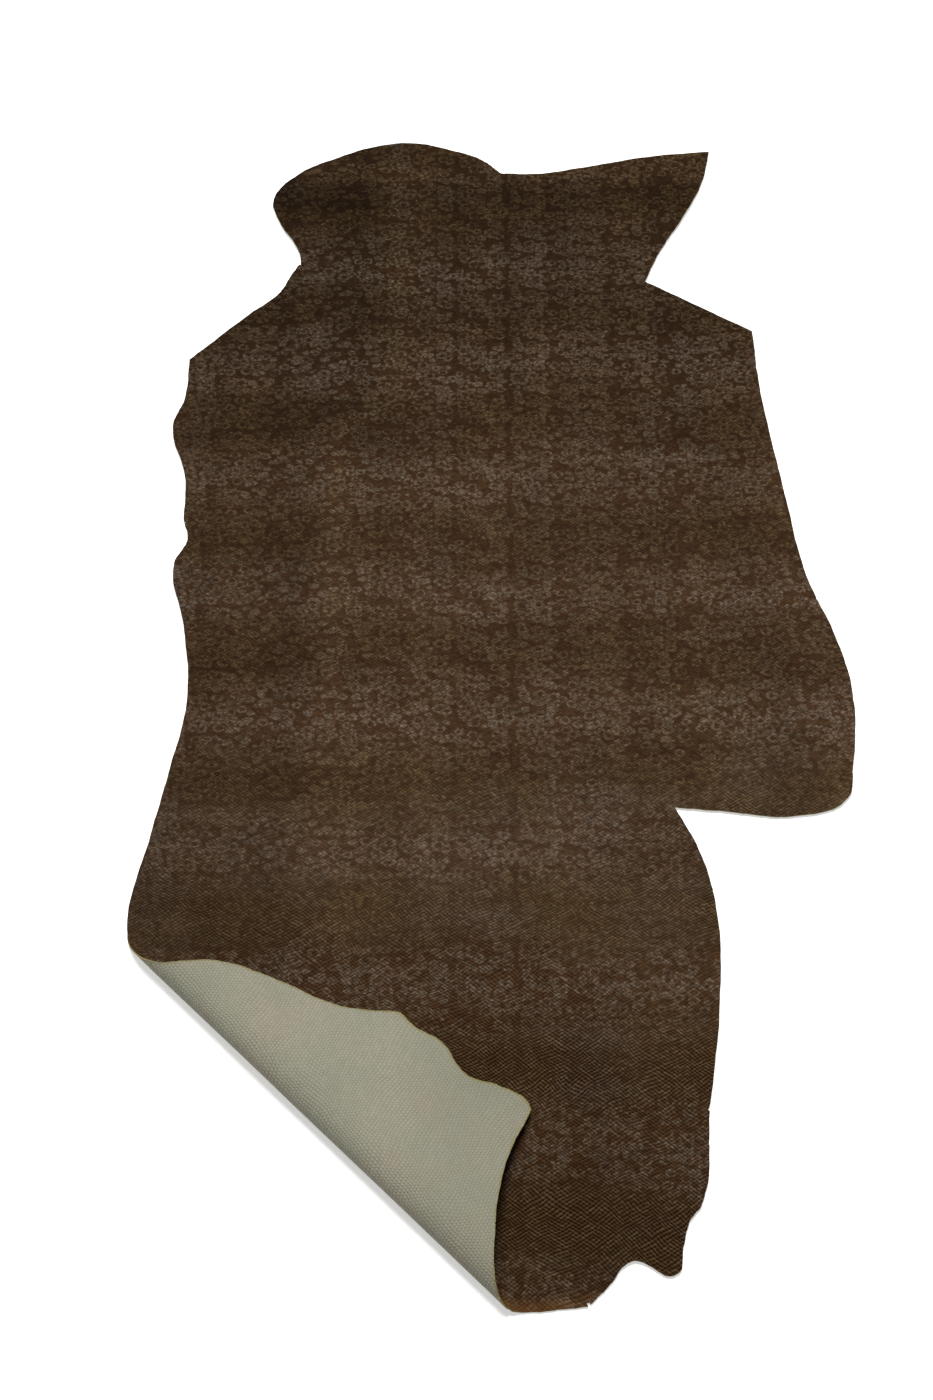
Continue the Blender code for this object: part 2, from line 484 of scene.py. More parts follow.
flap_length = max(point.dot(ACROSS_FOLD) for point in rim) - FOLD_REACH
profile = fold_profile(flap_length + SPARE_LENGTH)
print("nose", round(max(p[0] for p in profile), 4), "m out, crest",
      round(max(p[1] for p in profile), 4), "m high, flap", round(flap_length, 3), "m long")

# %% [markdown]
# ## Rolling the corner over, with Geometry Nodes
#
# The fold is a rule: how far a point lies past the fold says where on the profile it goes.
# A rule like that suits Geometry Nodes. The profile goes in as a curve, each point asks the
# curve for its place at its own length, and every size stays a named input.
#
# The same tree adds what keeps a hide from looking like card: long low waves across it,
# where it hung over a rail, and a rim that lifts a little here and there. The waves depend
# on where a point ends up, so the flap rides on the waves of the layer below.

# %% Helpers for node trees


def plug(tree, socket, feed):
    """Join a socket to another one, or set its value."""
    if isinstance(feed, bpy.types.NodeSocket):
        tree.links.new(feed, socket)
    else:
        socket.default_value = feed


def add(tree, kind, inputs=(), **settings):
    """A new node with its settings and inputs."""
    made = tree.nodes.new(kind)
    for name, value in settings.items():
        setattr(made, name, value)
    for place, feed in dict(inputs).items():
        plug(tree, made.inputs[place], feed)
    return made


def maths(tree, operation, *feeds):
    made = add(tree, "ShaderNodeMath", enumerate(feeds), operation=operation)
    return made.outputs[0]


def vectors(tree, operation, *feeds):
    made = add(tree, "ShaderNodeVectorMath", enumerate(feeds), operation=operation)
    single = operation in ("DOT_PRODUCT", "LENGTH", "DISTANCE")
    return made.outputs[1 if single else 0]


def scaled(tree, vector, scale):
    made = add(tree, "ShaderNodeVectorMath", {0: vector, "Scale": scale}, operation="SCALE")
    return made.outputs[0]


def ramp(tree, value, low, high, low_gives=0.0, high_gives=1.0):
    """A smooth step from one value to another."""
    made = add(tree, "ShaderNodeMapRange",
               {"Value": value, "From Min": low, "From Max": high,
                "To Min": low_gives, "To Max": high_gives},
               interpolation_type="SMOOTHSTEP")
    return made.outputs[0]


def new_tree(name, kind, takes, gives):
    """A node tree with named inputs and outputs."""
    tree = bpy.data.node_groups.new(name, kind)
    for side, sockets in (("INPUT", takes), ("OUTPUT", gives)):
        for label, socket_type in sockets:
            tree.interface.new_socket(label, in_out=side, socket_type=socket_type)
    return tree, tree.nodes.new("NodeGroupInput"), tree.nodes.new("NodeGroupOutput")


print("node helpers ready")

# %% The folding tree
FLOAT, VECTOR = "NodeSocketFloat", "NodeSocketVector"
WAVE_DRIFT = (2.6, 0.9)      # scale of a noise, and how many waves it shifts them by
WAVE_SHARE = 0.3             # of the wave height, up and down from its middle
BUMP_SCALE, BUMP_SHARE = 11.0, 0.6
CURL_SCALE = 7.0
CURL_EDGES = (0.45, 0.75)    # of its noise, where the rim lies flat and where it lifts


def folding_tree():
    tree, given, result = new_tree(
        "fold_a_corner", "GeometryNodeTree",
        [("Flat Sheet", "NodeSocketGeometry"), ("Profile", "NodeSocketObject"),
         ("Across Fold", VECTOR), ("Fold Reach", FLOAT), ("Wave Height", FLOAT),
         ("Wave Spacing", FLOAT), ("Rim Lift", FLOAT), ("Lift Width", FLOAT),
         ("Base Height", FLOAT), ("Leather", "NodeSocketMaterial")],
        [("Folded Sheet", "NodeSocketGeometry")])
    place = add(tree, "GeometryNodeInputPosition").outputs[0]
    across = given.outputs["Across Fold"]
    past = maths(tree, "SUBTRACT", vectors(tree, "DOT_PRODUCT", place, across),
                 given.outputs["Fold Reach"])
    length = maths(tree, "MAXIMUM", past, 0.0)

    # where the profile is at that length
    guide = add(tree, "GeometryNodeObjectInfo", {"Object": given.outputs["Profile"]})
    sample = add(tree, "GeometryNodeSampleCurve",
                 {"Curves": guide.outputs["Geometry"], "Length": length}, mode="LENGTH")
    spot = add(tree, "ShaderNodeSeparateXYZ", {0: sample.outputs["Position"]})
    pulled = maths(tree, "SUBTRACT", spot.outputs["X"], length)
    rolled = vectors(tree, "ADD", place, scaled(tree, across, pulled))
    level = vectors(tree, "MULTIPLY", rolled, (1, 1, 0))

    # low waves across the hide, uneven from place to place
    flat_place = add(tree, "ShaderNodeSeparateXYZ", {0: level})
    drift = add(tree, "ShaderNodeTexNoise",
                {"Vector": level, "Scale": WAVE_DRIFT[0], "Detail": 1.0})
    phase = maths(tree, "ADD",
                  maths(tree, "DIVIDE", flat_place.outputs["Y"], given.outputs["Wave Spacing"]),
                  maths(tree, "MULTIPLY", drift.outputs["Fac"], WAVE_DRIFT[1]))
    wave = maths(tree, "SINE", maths(tree, "MULTIPLY", phase, 2 * math.pi))
    bumps = add(tree, "ShaderNodeTexNoise",
                {"Vector": level, "Scale": BUMP_SCALE, "Detail": 2.0})
    uneven = maths(tree, "ADD", maths(tree, "MULTIPLY_ADD", wave, WAVE_SHARE, WAVE_SHARE),
                   maths(tree, "MULTIPLY", bumps.outputs["Fac"], BUMP_SHARE))
    wave_height = maths(tree, "MULTIPLY", uneven, given.outputs["Wave Height"])

    # the rim lifts where the leather has dried hard
    distance = add(tree, "GeometryNodeInputNamedAttribute", {"Name": "rim_distance"},
                   data_type="FLOAT").outputs["Attribute"]
    near_rim = maths(tree, "SUBTRACT", 1.0,
                     ramp(tree, distance, 0.0, given.outputs["Lift Width"]))
    curl = add(tree, "ShaderNodeTexNoise",
               {"Vector": level, "Scale": CURL_SCALE, "Detail": 1.0})
    curled = ramp(tree, curl.outputs["Fac"], *CURL_EDGES)
    lift = maths(tree, "MULTIPLY", maths(tree, "MULTIPLY", near_rim, curled),
                 given.outputs["Rim Lift"])

    height = maths(tree, "ADD", maths(tree, "ADD", spot.outputs["Y"], wave_height),
                   maths(tree, "ADD", lift, given.outputs["Base Height"]))
    upward = add(tree, "ShaderNodeCombineXYZ", {"Z": height}).outputs[0]
    moved = add(tree, "GeometryNodeSetPosition",
                {"Geometry": given.outputs["Flat Sheet"],
                 "Position": vectors(tree, "ADD", level, upward)})
    real = add(tree, "GeometryNodeRealizeInstances", {0: moved.outputs[0]})
    dressed = add(tree, "GeometryNodeSetMaterial",
                  {"Geometry": real.outputs[0], "Material": given.outputs["Leather"]})
    tree.links.new(dressed.outputs[0], result.inputs[0])
    return tree


fold_a_corner = folding_tree()
print("the folding tree has", len(fold_a_corner.nodes), "nodes")

# %% [markdown]
# ## The materials' shared effects
#
# Three materials cover the hide: the grain side, the flesh side and the cut edge. What
# more than one of them shows is made once, as a group. First come the embossed scales.
#
# An embossing plate presses a net of small scales into the leather. Its grooves run
# slantwise in two directions, so two crossing waves draw them. Under the plate the leather
# slips a little and the rows wander, and the second UV map holds that wander. From place to
# place one direction bites deeper than the other, which combs the scales into short strokes.
#
# Only the middle of each scale comes through on the flesh side. There both waves are high
# at once, so their plain sum draws it as a dot.

# %% Helpers for patterns


def flat_noise(tree, place, scale, detail):
    """Soft noise over a flat place, between 0 and 1."""
    made = add(tree, "ShaderNodeTexNoise", {"Vector": place, "Scale": scale, "Detail": detail},
               noise_dimensions="2D")
    return made.outputs["Fac"]


def wandering(tree, flat, scale, reach):
    """The flat place pushed about by noise, by up to about a quarter of reach."""
    clouds = add(tree, "ShaderNodeTexNoise", {"Vector": flat, "Scale": scale, "Detail": 1.0},
                 noise_dimensions="2D")
    push = scaled(tree, vectors(tree, "SUBTRACT", clouds.outputs["Color"], (0.5, 0.5, 0.5)),
                  reach)
    return vectors(tree, "MULTIPLY", vectors(tree, "ADD", flat, push), (1, 1, 0))


print("pattern helpers ready")

# %% Scale emboss group
FIRST_GROOVES = (216.0, 276.0, 0.0)     # turns in a metre, across and along the hide
SECOND_GROOVES = (-161.0, 279.0, 0.0)
ROW_WANDER = (90.0, 0.0012)             # scale of a noise, and its reach in metres
STROKE_PATCHES = 110.0                  # patches in a metre where one direction leads
PATCH_EDGES = (0.38, 0.62)              # of the patches' noise
LEAD_SHARES = (0.34, 0.66)              # what the first direction has in the two patches
GROOVE_EDGES = (0.50, -0.50)            # of the height, at a groove's side and bottom
DOT_EDGES = (-0.30, 1.50)               # of both waves' sum, beside a dot and inside it


def scale_emboss_group():
    tree, given, result = new_tree(
        "embossed_scales", "ShaderNodeTree", [("Plate Place", VECTOR)],
        [("Height", FLOAT), ("Groove", FLOAT), ("Dot", FLOAT), ("Scale Tint", FLOAT)])
    place = wandering(tree, given.outputs["Plate Place"], *ROW_WANDER)
    patches = flat_noise(tree, place, STROKE_PATCHES, 1.0)
    first_leads = ramp(tree, patches, *PATCH_EDGES, *LEAD_SHARES)
    second_leads = maths(tree, "SUBTRACT", 1.0, first_leads)
    turns = [vectors(tree, "DOT_PRODUCT", place, grooves)
             for grooves in (FIRST_GROOVES, SECOND_GROOVES)]
    waves = [maths(tree, "COSINE", maths(tree, "MULTIPLY", turn, 2 * math.pi))
             for turn in turns]
    height = maths(tree, "ADD", maths(tree, "MULTIPLY", waves[0], first_leads),
                   maths(tree, "MULTIPLY", waves[1], second_leads))
    which = add(tree, "ShaderNodeCombineXYZ",
                {0: maths(tree, "ROUND", turns[0]), 1: maths(tree, "ROUND", turns[1])})
    tint = add(tree, "ShaderNodeTexWhiteNoise", {"Vector": which.outputs[0]},
               noise_dimensions="2D")
    plug(tree, result.inputs["Height"], maths(tree, "MULTIPLY_ADD", height, 0.5, 0.5))
    plug(tree, result.inputs["Groove"], ramp(tree, height, *GROOVE_EDGES))
    plug(tree, result.inputs["Dot"], ramp(tree, maths(tree, "ADD", *waves), *DOT_EDGES))
    plug(tree, result.inputs["Scale Tint"], tint.outputs["Value"])
    return tree


embossed_scales = scale_emboss_group()
groove_gaps = [1 / Vector(grooves).length for grooves in (FIRST_GROOVES, SECOND_GROOVES)]
print("grooves", [round(gap / MM, 2) for gap in groove_gaps], "mm apart")

# %% [markdown]
# ## The roller print
#
# Over the scales a roller has printed small pale rings, like the markings of a leopard.
# They are broken and uneven, they crowd together, and dark gaps open between them.
#
# A plain texture never repeats, but a roller does, once each turn. So the flat place is
# wound onto a cylinder as long round as one repeat, and the pattern is read from solid
# Voronoi cells cut by that cylinder. After one turn it meets itself without a seam.

# %% On the roller
REPEAT_ALONG = 0.0773
ROLLER_RADIUS = REPEAT_ALONG / (2 * math.pi)
ROLLER_SLANT = 0.024     # the roller ran a little askew
SPOT_STRETCH = 0.74      # spots are a little wider than they are long


def wound_on_roller(tree, flat):
    """A flat place as a place on the roller, in metres."""
    parts = add(tree, "ShaderNodeSeparateXYZ", {0: flat})
    along = maths(tree, "MULTIPLY_ADD", parts.outputs["X"], -ROLLER_SLANT,
                  parts.outputs["Y"])
    angle = maths(tree, "MULTIPLY", along, 1 / ROLLER_RADIUS)
    wound = [maths(tree, "MULTIPLY", maths(tree, turn, angle), ROLLER_RADIUS)
             for turn in ("COSINE", "SINE")]
    across = maths(tree, "MULTIPLY", parts.outputs["X"], SPOT_STRETCH)
    return add(tree, "ShaderNodeCombineXYZ", {0: across, 1: wound[0], 2: wound[1]}).outputs[0]


print("the roller is", round(2 * ROLLER_RADIUS / MM, 1), "mm thick")

# %% [markdown]
# The cut through the cells does something more. A cell whose middle lies on the cylinder
# gives a round spot, and with a hole in its middle the spot is a ring. A cell cut farther
# from its middle gives a small plain spot, and one that is barely touched gives none,
# which leaves a dark gap. Much smaller cells then break each ring into beads.
#
# The spots also thin out in narrow dark lanes, along the hide and across it, that cross
# like the lines of a plaid. Two noises draw the lanes, each one stretched in its own
# direction, and wherever the lower of the two is low the spots shrink.

# %% Roller print group
PRINT_WANDER = (260.0, 0.0040)   # scale of a noise that frays the print, and its reach
SPOT_SIZE, SPOT_UNEVEN = 0.0086, 0.90
BEAD_SIZE, BEAD_UNEVEN = 0.0034, 0.85
SPOT_REACH = (0.45, 0.67)   # in a dark lane and beside it, in spot sizes as the next ones are
SPOT_SOFTNESS = 0.06
HOLE_REACH = (0.24, 0.34)   # the smallest and the largest
SPOT_GAP = 0.14
BEAD_GAP = 0.30
GAP_PALENESS = 0.25         # of the leather between two beads
BLOT_SHARES = (0.60, 0.25, 0.28)   # sure, by chance for each spot, by chance for each bead
LANE_CLOSENESS = ((46.0, 14.0, 14.0), (13.0, 60.0, 60.0))   # turns of the noise in a metre
LANE_EDGES = (0.36, 0.49)   # of the noise, in a lane and beside it


def solid_cells(tree, place, size, unevenness):
    """How far the nearest middle is, how much farther the next, and some chances."""
    near, far = [add(tree, "ShaderNodeTexVoronoi",
                     {"Vector": place, "Scale": 1 / size, "Randomness": unevenness},
                     voronoi_dimensions="3D", feature=feature) for feature in ("F1", "F2")]
    gap = maths(tree, "SUBTRACT", far.outputs["Distance"], near.outputs["Distance"])
    chances = add(tree, "ShaderNodeSeparateXYZ", {0: near.outputs["Color"]})
    return near.outputs["Distance"], gap, chances.outputs


def crowding(tree, place):
    """Low in the dark lanes that run along and across the hide between the spots."""
    lanes = [add(tree, "ShaderNodeTexNoise",
                 {"Vector": vectors(tree, "MULTIPLY", place, closeness), "Scale": 1.0,
                  "Detail": 1.0}).outputs["Fac"]
             for closeness in LANE_CLOSENESS]
    return maths(tree, "MINIMUM", *lanes)


def soft_edge(tree, inside):
    """A soft step where a distance passes zero."""
    return ramp(tree, inside, -SPOT_SOFTNESS, SPOT_SOFTNESS)


def roller_print_group():
    tree, given, result = new_tree(
        "roller_print", "ShaderNodeTree", [("Flat Place", VECTOR)], [("Blot", FLOAT)])
    flat = wandering(tree, given.outputs["Flat Place"], *PRINT_WANDER)
    place = wound_on_roller(tree, flat)
    distance, gap, chances = solid_cells(tree, place, SPOT_SIZE, SPOT_UNEVEN)
    hole = ramp(tree, chances["X"], 0.0, 1.0, *HOLE_REACH)
    outside_hole = soft_edge(tree, maths(tree, "SUBTRACT", distance, hole))
    reach = ramp(tree, crowding(tree, place), *LANE_EDGES, *SPOT_REACH)
    in_spot = soft_edge(tree, maths(tree, "SUBTRACT", reach, distance))
    parted = ramp(tree, gap, 0.0, SPOT_GAP)
    ring = maths(tree, "MULTIPLY", maths(tree, "MULTIPLY", outside_hole, in_spot), parted)

    _, bead_gap, bead_chances = solid_cells(tree, place, BEAD_SIZE, BEAD_UNEVEN)
    beaded = ramp(tree, bead_gap, 0.0, BEAD_GAP, GAP_PALENESS, 1.0)
    sure, by_spot, by_bead = BLOT_SHARES
    even = maths(tree, "MULTIPLY_ADD", chances["Y"], by_spot,
                 maths(tree, "MULTIPLY_ADD", bead_chances["Y"], by_bead, sure))
    plug(tree, result.inputs["Blot"],
         maths(tree, "MULTIPLY", maths(tree, "MULTIPLY", ring, even), beaded))
    return tree


roller_print = roller_print_group()

# %% [markdown]
# ## Dye bands and painted sheen
#
# The dye lies unevenly, and the light and shade of the long waves are painted over it.
# Greyer, paler bands cross the hide at the crests of the long waves, a painted sheen,
# with golden brown between them, painted a little darker as shade in the dips. Fine
# streaks run the same way, and soft columns run the other way, where the roller
# pressed harder.
#
# Two things stand out. An olive column on the left steps aside near the shoulder, with
# darker leather beyond it. And the neck is golden, with one dim band across it.

# %% Column and neck
PRESSED_COLUMN = (-0.172, -0.112)   # across the hide, below and above the shoulder
COLUMN_STEP = (0.24, 0.32)          # along the hide, where it steps aside
COLUMN_HALF = (0.004, 0.024)        # half widths of its even core and of its soft edge
COLUMN_FADES = (-0.28, 0.02)        # along the hide, where it fades towards the tail
BESIDE_COLUMN = (-0.055, -0.005)    # from the column, where the darker left side begins
LEFT_DARKER = -0.50
NECK_GOLD = (0.545, 0.590)          # along the hide, where the dye turns golden
NECK_GOLDER = 0.6
NECK_BAND = 0.611                   # along the hide, the middle of the dim band
NECK_BAND_HALF = (0.006, 0.040)     # half widths of its even core and of its soft edge
NECK_BAND_WAVES = 0.03              # how far, in band spacings, it wanders with the others
NECK_BAND_DIM = -0.82


def far_from(tree, value, middle):
    return maths(tree, "ABSOLUTE", maths(tree, "SUBTRACT", value, middle))


def pressed_column(tree, x, y):
    """How strongly the column shows, and what the left side loses."""
    middle = ramp(tree, y, *COLUMN_STEP, *PRESSED_COLUMN)
    pressed = maths(tree, "MULTIPLY",
                    ramp(tree, far_from(tree, x, middle), *COLUMN_HALF, 1.0, 0.0),
                    ramp(tree, y, *COLUMN_FADES))
    left = ramp(tree, maths(tree, "SUBTRACT", x, middle), *BESIDE_COLUMN, LEFT_DARKER, 0.0)
    return pressed, left


def dim_neck_band(tree, y, wobble):
    off_band = maths(tree, "MULTIPLY_ADD", wobble, NECK_BAND_WAVES, far_from(tree, y, NECK_BAND))
    return ramp(tree, off_band, *NECK_BAND_HALF, NECK_BAND_DIM, 0.0)


print("the column steps", round((PRESSED_COLUMN[1] - PRESSED_COLUMN[0]) / MM), "mm aside")

# %% Dye and sheen band group
BAND_SPACING = 0.149
BAND_START = 0.044
BAND_DRIFT = (3.5, 0.5)             # scale of a noise, and how many bands it shifts them by
STREAK_SCALE = (3.0, 26.0, 0)       # across and along the hide
COLUMN_SCALE = (17.0, 2.2, 0)
CLOUD_SCALE, CLOUD_SHIFT = 9.0, (3.1, 1.7, 0)
# the bands' share of the paleness is painted sheen on the crests of the waves
PALE_SHARES = (0.70, 0.30)          # what streaks and bands add to the paleness
PALE_EDGES = (0.25, 0.75)
GOLD_SHARES = (-0.55, 0.72)         # what a crest takes away, and what a dip has
GOLD_EDGES = (0.36, 0.60)           # of the clouds' noise
# the bands' share of the strength is painted light on the crests and painted shade in the dips
DYE_AND_SHADE_SHARES = (0.36, 0.75, 0.62)     # what bands, streaks and columns add to the strength
DYE_AND_SHADE_EDGES = (0.50, 1.26)
COLUMN_STRENGTH = 0.45


def dye_and_sheen_band_group():
    tree, given, result = new_tree(
        "dye_and_sheen_bands", "ShaderNodeTree", [("Flat Place", VECTOR)],
        [("Crest", FLOAT), ("Paleness", FLOAT), ("Goldness", FLOAT), ("Strength", FLOAT),
         ("Pressed", FLOAT)])
    flat = given.outputs["Flat Place"]
    parts = add(tree, "ShaderNodeSeparateXYZ", {0: flat})
    x, y = parts.outputs["X"], parts.outputs["Y"]
    drift_scale, drift = BAND_DRIFT
    wobble = maths(tree, "MULTIPLY_ADD", flat_noise(tree, flat, drift_scale, 1.0),
                   drift, -drift / 2)
    turns = maths(tree, "DIVIDE", maths(tree, "SUBTRACT", y, BAND_START), BAND_SPACING)
    angle = maths(tree, "MULTIPLY", maths(tree, "ADD", turns, wobble), 2 * math.pi)
    band = maths(tree, "MULTIPLY_ADD", maths(tree, "COSINE", angle), 0.5, 0.5)
    streaks = flat_noise(tree, vectors(tree, "MULTIPLY", flat, STREAK_SCALE), 1.0, 2.0)
    columns = flat_noise(tree, vectors(tree, "MULTIPLY", flat, COLUMN_SCALE), 1.0, 1.0)
    clouds = flat_noise(tree, vectors(tree, "ADD", flat, CLOUD_SHIFT), CLOUD_SCALE, 2.0)
    pressed, left = pressed_column(tree, x, y)

    # the bands' share of the paleness is painted sheen on the crests
    pale = maths(tree, "MULTIPLY_ADD", streaks, PALE_SHARES[0],
                 maths(tree, "MULTIPLY", band, PALE_SHARES[1]))
    golden = maths(tree, "MULTIPLY", maths(tree, "MULTIPLY_ADD", band, *GOLD_SHARES),
                   ramp(tree, clouds, *GOLD_EDGES))
    # the bands' share is painted light on the crests and painted shade in the dips
    shares = [maths(tree, "MULTIPLY", value, share)
              for value, share in zip((band, streaks, columns), DYE_AND_SHADE_SHARES)]
    dye_and_shade = ramp(tree, maths(tree, "ADD", shares[0], maths(tree, "ADD", *shares[1:])), *DYE_AND_SHADE_EDGES)
    plug(tree, result.inputs["Crest"], band)
    plug(tree, result.inputs["Pressed"], pressed)
    plug(tree, result.inputs["Paleness"], ramp(tree, pale, *PALE_EDGES))
    plug(tree, result.inputs["Goldness"],
         maths(tree, "MULTIPLY_ADD", ramp(tree, y, *NECK_GOLD), NECK_GOLDER, golden))
    plug(tree, result.inputs["Strength"],
         maths(tree, "ADD", maths(tree, "ADD", left, dim_neck_band(tree, y, wobble)),
               maths(tree, "MULTIPLY_ADD", pressed, COLUMN_STRENGTH, dye_and_shade)))
    return tree


dye_and_sheen_bands = dye_and_sheen_band_group()
print("dye bands", BAND_SPACING / MM, "mm apart")

# %% [markdown]
# ## The grain side
#
# Dark brown leather takes its depth from layers. The darkest brown lies in the grooves
# between the scales, partly as painted shade. The tops of the scales are rubbed paler, and
# greyer with painted sheen on the crests of the waves, and the printed rings sit on those
# tops. Towards the tail the print grows fainter and the grooves deeper, so there the
# scales show most, in the dips between the bands. Near the tail's rim the dye is thin and
# the tan leather shines through.
#
# Every brown below is a colour of its own, and one grey tone is multiplied into all of
# them. That tone also carries the bands' painted light and shade, and it darkens towards
# the tail and the neck, partly as a painted falloff of the light. So a dark band or a dark
# scale darkens the print and the ground by the same share.

# %% Browns of the grain side
TOP_BROWN = (0.087, 0.059, 0.034, 1)
# grey of the pale tops, partly a painted sheen from the crests of the waves
TOP_SHEEN_GREY = (0.098, 0.075, 0.055, 1)
TOP_GOLD = (0.088, 0.056, 0.023, 1)
TOP_OLIVE = (0.086, 0.065, 0.037, 1)
TAIL_BROWN = (0.0385, 0.0174, 0.0058, 1)
GROUND_BROWN = (0.0400, 0.0206, 0.0098, 1)
NECK_BROWN = (0.0280, 0.0142, 0.0062, 1)
TAIL_TO_GROUND = (-0.46, -0.22)         # along the hide
GROUND_TO_NECK = (0.05, 0.45)
# the tone darkens towards the tail and the neck, partly a painted falloff of the light
TAIL_TONE = (-0.66, -0.15, 0.84, 1.0)   # along the hide, and the tone at both places
NECK_TONE = (0.00, 0.62, 1.0, 0.77)
# the strength carries the bands' painted light and shade
DYE_AND_SHADE_TONE = (0.38, 0.84)                 # what the dye's strength adds, and where it starts
SCALE_TONE = (0.56, 0.72)               # the same for each scale's own tint


def mix_colours(tree, share, first, second, blend="MIX"):
    made = add(tree, "ShaderNodeMix", {0: share, 6: first, 7: second}, data_type="RGBA",
               blend_type=blend)
    return made.outputs[2]


def grain_tone(tree, y, strength, tint):
    """A grey that darkens or lightens all the browns."""
    # darker towards the tail and the neck, partly a painted falloff of the light
    along = maths(tree, "MULTIPLY", ramp(tree, y, *TAIL_TONE), ramp(tree, y, *NECK_TONE))
    # the strength brings in the bands' painted light on the crests and painted shade in the dips
    dyed_and_shaded = maths(tree, "MULTIPLY", along, maths(tree, "MULTIPLY_ADD", strength, *DYE_AND_SHADE_TONE))
    shade = maths(tree, "MULTIPLY", dyed_and_shaded, maths(tree, "MULTIPLY_ADD", tint, *SCALE_TONE))
    return add(tree, "ShaderNodeCombineXYZ", {0: shade, 1: shade, 2: shade}).outputs[0]


def rubbed_and_sheen_tops(tree, bands, tone):
    """The tops of the scales, which show where the print left a blot."""
    # the tops turn greyer with the paleness, partly a painted sheen
    rubbed_and_sheen = mix_colours(tree, bands.outputs["Paleness"], TOP_BROWN, TOP_SHEEN_GREY)
    golden = mix_colours(tree, bands.outputs["Goldness"], rubbed_and_sheen, TOP_GOLD)
    olive = mix_colours(tree, bands.outputs["Pressed"], golden, TOP_OLIVE)
    return mix_colours(tree, 1.0, olive, tone, "MULTIPLY")


def bare_ground(tree, y, tone):
    """The ground between the blots: warmest at the tail and darkest at the neck."""
    low_down = mix_colours(tree, ramp(tree, y, *TAIL_TO_GROUND), TAIL_BROWN, GROUND_BROWN)
    ground = mix_colours(tree, ramp(tree, y, *GROUND_TO_NECK), low_down, NECK_BROWN)
    return mix_colours(tree, 1.0, ground, tone, "MULTIPLY")


print("grain colours ready")

# %% [markdown]
# The material lays these browns over each other in the order a tanner would: ground and
# print first, the grooves pressed through both and darkened partly as painted shade, and
# the worn rim last. The scales and the pores are then added as relief, one bump inside the
# other.

# %% Grain material
# dark brown of the grooves, partly painted shade in them
GROOVE_BROWN = (0.0112, 0.0036, 0.0009, 1)
RIM_TAN = (0.125, 0.056, 0.015, 1)
TAIL_CLOUDS = (6.0, 0.5)        # scale of a noise, and how far it moves the fading, in metres
PRINT_FADES = (-0.60, -0.10)    # along the hide, where the print thins out to the tail
CREST_EDGES = (0.1, 0.8)        # of a band, where it counts as a dip and as a crest
PRINT_AT_TAIL = (0.60, 0.90)    # in a dip and on a crest
GROOVE_DEPTH = (0.95, 0.35)     # how dark, at the tail and above it
GROOVE_ON_CREST = 0.65
SCALE_RELIEF = (0.00070, 0.00030)   # of a scale over its grooves, at the tail and above it
PORE_SCALE = 1100.0
PORE_RELIEF = 0.00004
WORN_WIDTH = 0.016              # from the rim, in metres
WORN_SHARE = 0.6
WORN_CLOUDS = (0.42, 0.62)      # of the noise, where the dye held and where it wore off
WORN_ALONG = (-0.64, -0.50, 1.0, 0.10)   # along the hide, and the wear at both places
GRAIN_ROUGHNESS = (0.15, 0.62)  # what a groove adds, and that of a scale
GRAIN_SHINE = 0.012


def mapped_place(tree, name):
    return add(tree, "ShaderNodeUVMap", uv_map=name).outputs[0]


def group_node(tree, group, label, place):
    """A shared effect, fed with a mapped place."""
    return add(tree, "ShaderNodeGroup", {label: place}, node_tree=group)


def bumped(tree, height, relief, under=None):
    """A bump of this relief, in metres, over the one that is given."""
    made = add(tree, "ShaderNodeBump", {"Height": height, "Distance": relief})
    if under is not None:
        plug(tree, made.inputs["Normal"], under)
    return made.outputs[0]


def worn_off(tree, y, clouds):
    """How far the dye has worn off, near the tail's rim."""
    distance = add(tree, "ShaderNodeAttribute", attribute_name="rim_distance").outputs["Fac"]
    thin_dye = maths(tree, "MULTIPLY", ramp(tree, clouds, *WORN_CLOUDS),
                     ramp(tree, y, *WORN_ALONG))
    worn = maths(tree, "MULTIPLY", ramp(tree, distance, 0.0, WORN_WIDTH, 1.0, 0.0), thin_dye)
    return maths(tree, "MULTIPLY", worn, WORN_SHARE)


